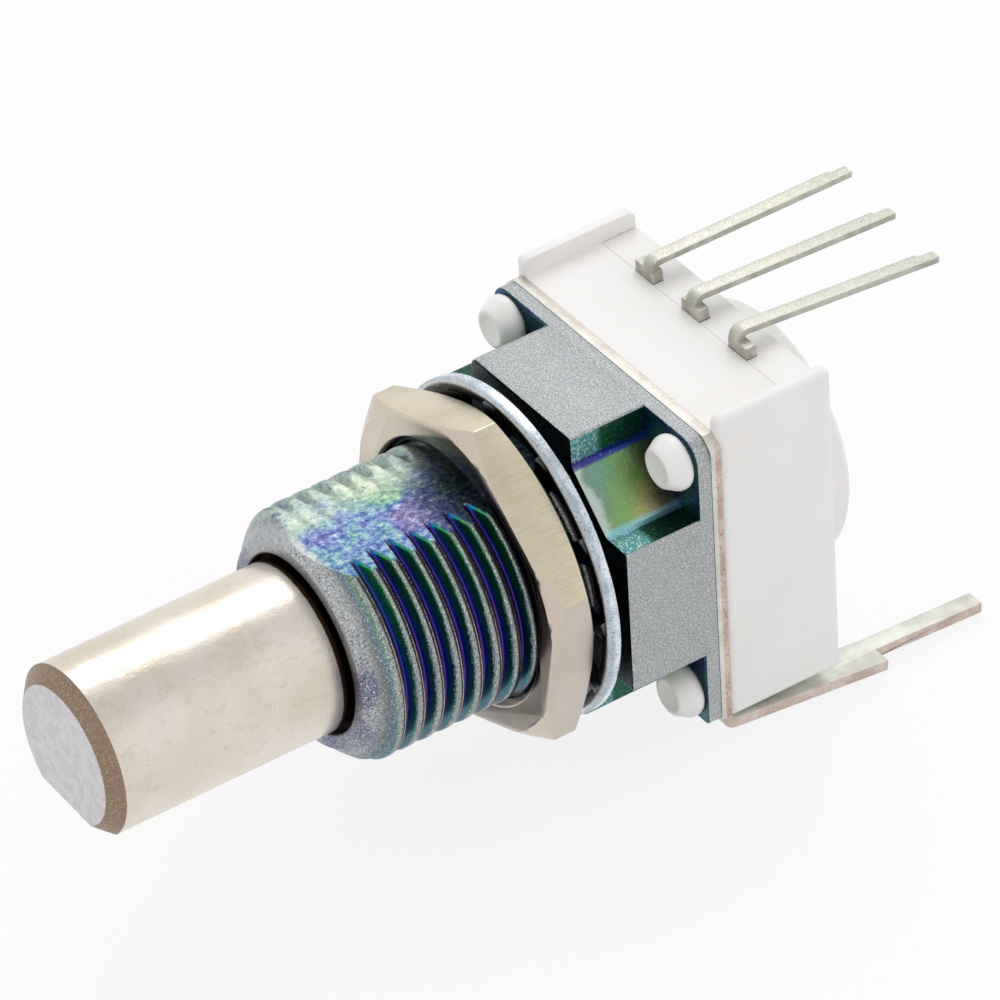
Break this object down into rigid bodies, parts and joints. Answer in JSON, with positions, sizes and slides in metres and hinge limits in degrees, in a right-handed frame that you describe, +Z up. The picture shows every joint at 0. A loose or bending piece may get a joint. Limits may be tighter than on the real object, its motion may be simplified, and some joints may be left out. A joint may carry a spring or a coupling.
{
  "type": "rotary potentiometer",
  "caption": "Panel-mount rotary potentiometer: plain shaft in a threaded die-cast front with hex nut and lock washer, plastic housing, rear solder pins and a bent grounding leg.",
  "frame": {"origin": "where the shaft's axis meets the mounting face, the front of the square block", "axes": "+Y along the shaft from its tip to the rear, +Z up through the terminals, +X to the right seen from the front"},
  "size_m": [0.0128, 0.035, 0.0146],
  "materials": {
    "nickel": "satin nickel plate over turned brass",
    "nickel_nut": "brushed nickel plate",
    "zinc_chromate": "blasted zinc casting with an iridescent passivated skin",
    "zinc_plate": "bright bluish zinc plate",
    "tinned_copper": "tinned sheet with bare copper at its sheared edges",
    "white_plastic": "matt moulded white",
    "tin": "dull tin plate",
    "board": "fired, unglazed",
    "carbon_ink": "smooth carbon ink",
    "silver_ink": "printed silver ink",
    "dark_plastic": "moulded glass-filled plastic",
    "spring_alloy": "rolled spring strip",
    "spring_steel": "phosphated spring steel",
    "bronze": "plain bronze washer",
    "rubber": "moulded seal ring"
  },
  "bodies": {
    "body": {"front_casting": "zinc_chromate", "grounding_bracket": "tinned_copper", "housing": "white_plastic", "rear_cover": "white_plastic", "terminal_left": "tin", "terminal_middle": "tin", "terminal_right": "tin", "terminal_rivets": "tin", "element_board": "board", "resistive_track": "carbon_ink", "collector_track": "silver_ink", "spring_washer": "spring_alloy", "thrust_washer": "bronze"},
    "spindle": {"shaft": "nickel", "rotor": "dark_plastic", "wiper": "spring_alloy", "retaining_ring": "spring_steel", "shaft_seal": "rubber"},
    "washer": {"lock_washer": "zinc_plate"},
    "nut": {"hex_nut": "nickel_nut"}
  },
  "joints": [
    {"name": "shaft_turn", "type": "hinge", "parent": "body", "child": "spindle", "pos_m": [0, 0, 0], "axis": [0, 1, 0], "range_deg": [-153.5, 146.5]},
    {"name": "washer_slide", "type": "slide", "parent": "body", "child": "washer", "axis": [0, -1, 0], "range_m": [0, 0.00556]},
    {"name": "nut_turn", "type": "hinge", "parent": "washer", "child": "nut", "pos_m": [0, 0, 0], "axis": [0, -1, 0], "range_deg": [0, 2520]}
  ],
  "couplings": [
    {"joint": "nut_turn", "follows": "washer_slide", "rad_per_m": 7915.8}
  ]
}
